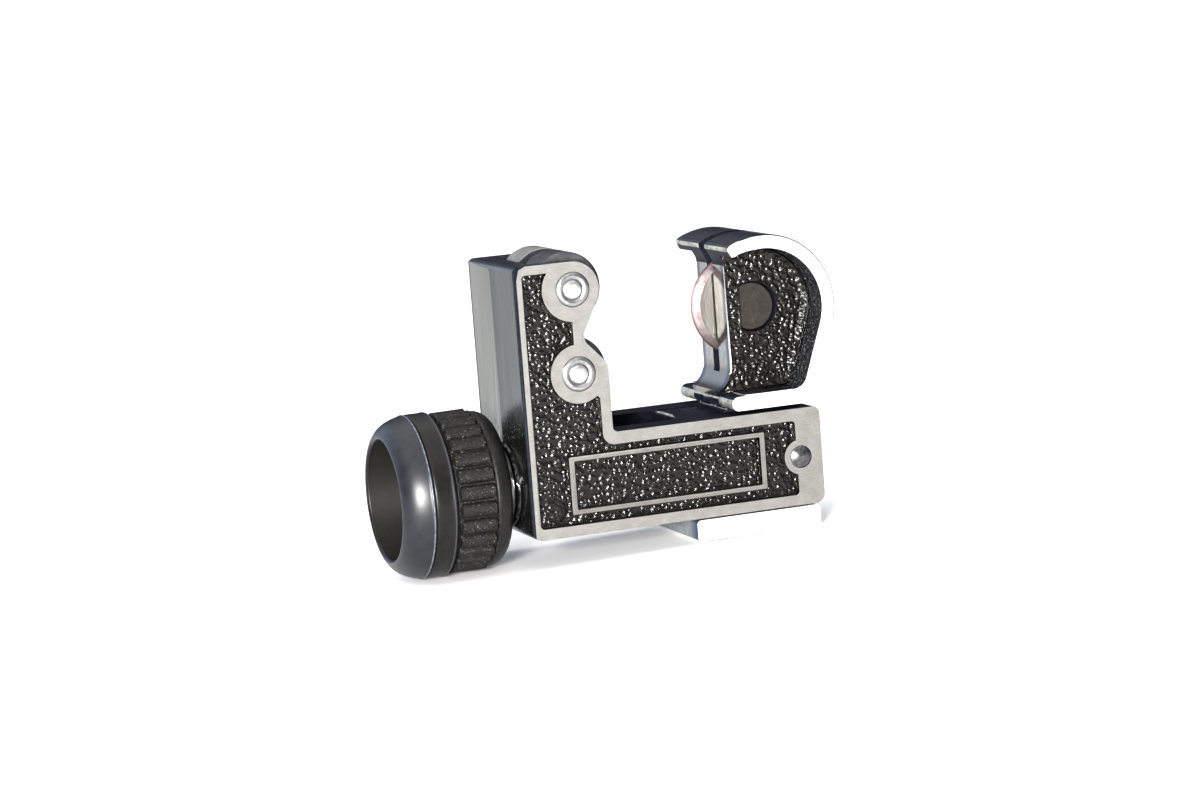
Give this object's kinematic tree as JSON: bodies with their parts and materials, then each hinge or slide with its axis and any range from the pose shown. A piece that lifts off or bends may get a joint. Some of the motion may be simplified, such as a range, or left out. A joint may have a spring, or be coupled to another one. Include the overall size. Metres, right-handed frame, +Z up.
{
  "type": "tube cutter",
  "caption": "Small screw-feed tube cutter: cast L-shaped body with guide rollers, sliding jaw with cutting wheel, hollow ribbed feed knob.",
  "frame": {"origin": "centre of the bottom of the bounding box, on the tool's mid-plane, under the knob's lowest point", "axes": "+X along the feed screw from the knob to the open end of the arm, +Z up from the arm to the rollers, +Y across the tool along the roller axes"},
  "size_m": [0.0912, 0.0322, 0.0612],
  "materials": {
    "cast_body": "black wrinkle paint in the recesses, belt-polished bright rims",
    "cast_jaw": "black wrinkle paint in the recesses, polished bright rim and flanges",
    "roller_steel": "turned steel",
    "rivet_steel": "bright zinc plate",
    "dark_steel": "dark oxide",
    "pin_steel": "dull grey-brown steel",
    "wheel_steel": "ground tool steel with a polished bevel",
    "screw_steel": "rolled thread, oiled steel",
    "washer_steel": "bright steel",
    "knob_plastic": "black moulded plastic, glossy nose and dusty matt ribs"
  },
  "bodies": {
    "frame": {"body": "cast_body", "roller_pin_upper": "rivet_steel", "roller_pin_lower": "rivet_steel", "stop_pin": "dark_steel"},
    "screw": {"feed_screw": "screw_steel", "thrust_washer": "washer_steel", "inner_washer": "washer_steel", "screw_clip": "dark_steel", "knob": "knob_plastic", "knob_washer": "washer_steel", "knob_nut": "screw_steel"},
    "jaw": {"jaw_slide": "cast_jaw", "wheel_pin": "pin_steel", "wheel_pin_clip": "dark_steel"},
    "wheel": {"cutter_wheel": "wheel_steel"},
    "upper_roller": {"roller_upper": "roller_steel"},
    "lower_roller": {"roller_lower": "roller_steel"}
  },
  "joints": [
    {"name": "knob_turn", "type": "hinge", "parent": "frame", "child": "screw", "pos_m": [-0.02066, 0, 0.0161], "axis": [1, 0, 0], "range_deg": [0, 6912]},
    {"name": "jaw_feed", "type": "slide", "parent": "frame", "child": "jaw", "axis": [-1, 0, 0], "range_m": [0, 0.024]},
    {"name": "wheel_spin", "type": "hinge", "parent": "jaw", "child": "wheel", "pos_m": [0.03094, 0, 0.04614], "axis": [0, 1, 0], "continuous": true},
    {"name": "upper_roller_spin", "type": "hinge", "parent": "frame", "child": "upper_roller", "pos_m": [-0.00861, 0, 0.05421], "axis": [0, 1, 0], "continuous": true},
    {"name": "lower_roller_spin", "type": "hinge", "parent": "frame", "child": "lower_roller", "pos_m": [-0.00861, 0, 0.03785], "axis": [0, 1, 0], "continuous": true}
  ],
  "couplings": [
    {"joint": "knob_turn", "follows": "jaw_feed", "rad_per_m": 5026.5}
  ]
}
